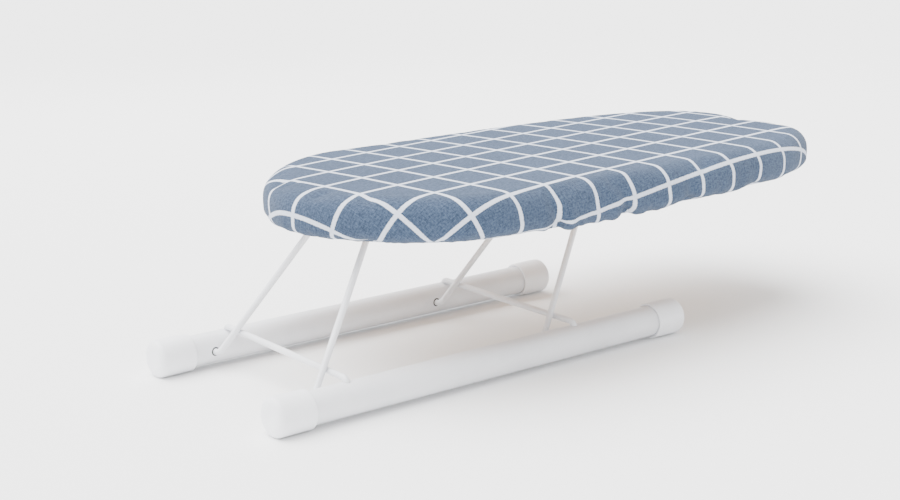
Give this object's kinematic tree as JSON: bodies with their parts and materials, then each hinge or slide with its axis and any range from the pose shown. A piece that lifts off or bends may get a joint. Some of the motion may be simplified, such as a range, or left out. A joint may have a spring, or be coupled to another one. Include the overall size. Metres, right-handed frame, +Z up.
{
  "type": "table-top ironing board",
  "caption": "Small padded ironing board on foot tubes, with bent-wire legs that swing over together so that it folds flat.",
  "frame": {"origin": "on the floor, in the middle of the whole length and width when the board is up", "axes": "+X along the foot tubes towards the end that the legs lean to, +Y across to the far tube, +Z up"},
  "size_m": [0.592, 0.2488, 0.1501],
  "materials": {
    "painted_steel": "white powder coat",
    "painted_wire": "white powder coat",
    "cap_plastic": "satin white",
    "fibreboard": "raw fibreboard",
    "foam": "open-cell foam",
    "cotton": "woven cotton with a white window-pane check",
    "elastic": "woven elastic",
    "clip_steel": "white powder coat",
    "screw_steel": "zinc plated"
  },
  "bodies": {
    "base": {"near_foot_tube": "painted_steel", "far_foot_tube": "painted_steel", "near_left_end_cap": "cap_plastic", "near_right_end_cap": "cap_plastic", "far_left_end_cap": "cap_plastic", "far_right_end_cap": "cap_plastic", "left_crossbar": "painted_wire", "right_crossbar": "painted_wire"},
    "left_leg_body": {"left_leg": "painted_wire"},
    "right_leg_body": {"right_leg": "painted_wire"},
    "board": {"board_panel": "fibreboard", "foam_pad": "foam", "cotton_cover": "cotton", "hem_elastic": "elastic", "near_left_clip": "clip_steel", "far_left_clip": "clip_steel", "near_right_clip": "clip_steel", "far_right_clip": "clip_steel", "clip_screws": "screw_steel"}
  },
  "joints": [
    {"name": "left_leg_pivot", "type": "hinge", "parent": "base", "child": "left_leg_body", "pos_m": [-0.2475, 0, 0.0145], "axis": [0, -1, 0], "range_deg": [0, 117]},
    {"name": "right_leg_pivot", "type": "hinge", "parent": "base", "child": "right_leg_body", "pos_m": [-0.0275, 0, 0.0145], "axis": [0, -1, 0], "range_deg": [0, 117]},
    {"name": "board_pivot", "type": "hinge", "parent": "left_leg_body", "child": "board", "pos_m": [-0.17226, 0, 0.11805], "axis": [0, -1, 0], "range_deg": [-117, 0]}
  ],
  "couplings": [
    {"joint": "right_leg_pivot", "follows": "left_leg_pivot", "ratio": 1},
    {"joint": "board_pivot", "follows": "left_leg_pivot", "ratio": -1}
  ]
}
